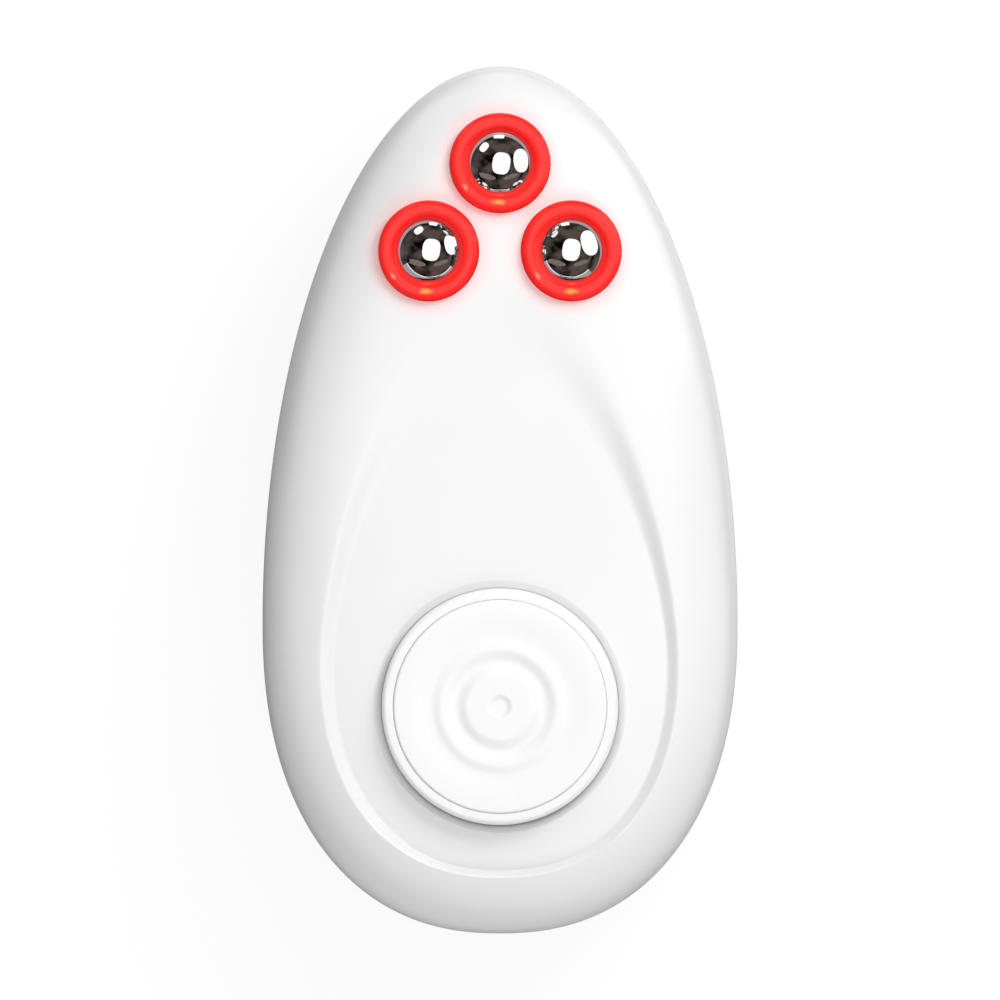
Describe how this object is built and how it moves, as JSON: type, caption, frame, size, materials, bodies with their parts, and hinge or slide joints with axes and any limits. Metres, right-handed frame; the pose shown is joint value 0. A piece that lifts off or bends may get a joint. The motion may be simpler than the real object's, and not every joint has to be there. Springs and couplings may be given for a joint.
{
  "type": "eye massager",
  "caption": "Egg-shaped hand-held eye massager with chrome rolling balls in red lit rings at its narrow end and a round push button with ripple relief in a shallow recess.",
  "frame": {"origin": "middle of the flat rear face, under the middle of the egg's bounding box", "axes": "+Z out of the front face, +Y towards the narrow end with the balls, +X to the right seen from the front"},
  "size_m": [0.0548, 0.1, 0.0299],
  "materials": {
    "shell_white": "satin-gloss moulded white",
    "button_white": "gloss moulded white",
    "ring_red": "clear red, lit from below",
    "ball_chrome": "mirror polished",
    "cup_white": "satin moulded",
    "board_green": "solder mask",
    "led_red": "clear red lamp",
    "part_black": "moulded",
    "coil_grey": "sintered",
    "sheet_steel": "plated sheet",
    "screw_steel": "plated",
    "weight_steel": "sintered",
    "terminal_brass": "tinned edge",
    "battery_silver": "foil pouch",
    "pad_foam": "closed-cell foam",
    "sleeve_rubber": "soft",
    "plug_rubber": "matt white"
  },
  "bodies": {
    "case": {"front_shell": "shell_white", "rear_shell": "shell_white", "light_ring_top": "ring_red", "light_ring_left": "ring_red", "light_ring_right": "ring_red", "ball_cup_top": "cup_white", "ball_cup_left": "cup_white", "ball_cup_right": "cup_white", "led_board": "board_green", "red_leds": "led_red", "led_board_screws": "screw_steel", "button_bezel": "button_white", "main_board": "board_green", "switch_base": "part_black", "switch_cover": "sheet_steel", "switch_legs": "terminal_brass", "control_chip": "part_black", "boost_coil": "coil_grey", "small_parts": "coil_grey", "socket_shell": "sheet_steel", "socket_tongue": "part_black", "battery_pad": "pad_foam", "battery_cell": "battery_silver", "battery_guard": "part_black", "motor_can": "sheet_steel", "motor_end_cap": "part_black", "motor_terminals": "terminal_brass", "motor_sleeve": "sleeve_rubber", "case_screws": "screw_steel", "board_screws": "screw_steel", "screw_plugs": "plug_rubber"},
    "ball_top": {"roller_ball_top": "ball_chrome"},
    "ball_left": {"roller_ball_left": "ball_chrome"},
    "ball_right": {"roller_ball_right": "ball_chrome"},
    "button": {"button_cap": "button_white"},
    "stem": {"switch_stem": "part_black"},
    "rotor": {"motor_shaft": "screw_steel", "eccentric_weight": "weight_steel"}
  },
  "joints": [
    {"name": "ball_top_roll", "type": "hinge", "parent": "case", "child": "ball_top", "pos_m": [0, 0.03841, 0.02518], "axis": [1, 0, 0], "continuous": true},
    {"name": "ball_left_roll", "type": "hinge", "parent": "case", "child": "ball_left", "pos_m": [-0.00805, 0.02846, 0.02589], "axis": [1, 0, 0], "continuous": true},
    {"name": "ball_right_roll", "type": "hinge", "parent": "case", "child": "ball_right", "pos_m": [0.00805, 0.02846, 0.02589], "axis": [1, 0, 0], "continuous": true},
    {"name": "button_press", "type": "slide", "parent": "case", "child": "button", "axis": [0, 0, -1], "range_m": [0, 0.0005], "stiffness_N_per_m": 2000, "springref_m": -0.0005},
    {"name": "switch_press", "type": "slide", "parent": "case", "child": "stem", "axis": [0, 0, -1], "range_m": [0, 0.0005]},
    {"name": "rotor_spin", "type": "hinge", "parent": "case", "child": "rotor", "pos_m": [0.00703, 0.012, 0.0094], "axis": [1, 0, 0], "continuous": true}
  ],
  "couplings": [
    {"joint": "switch_press", "follows": "button_press", "ratio": 1}
  ]
}
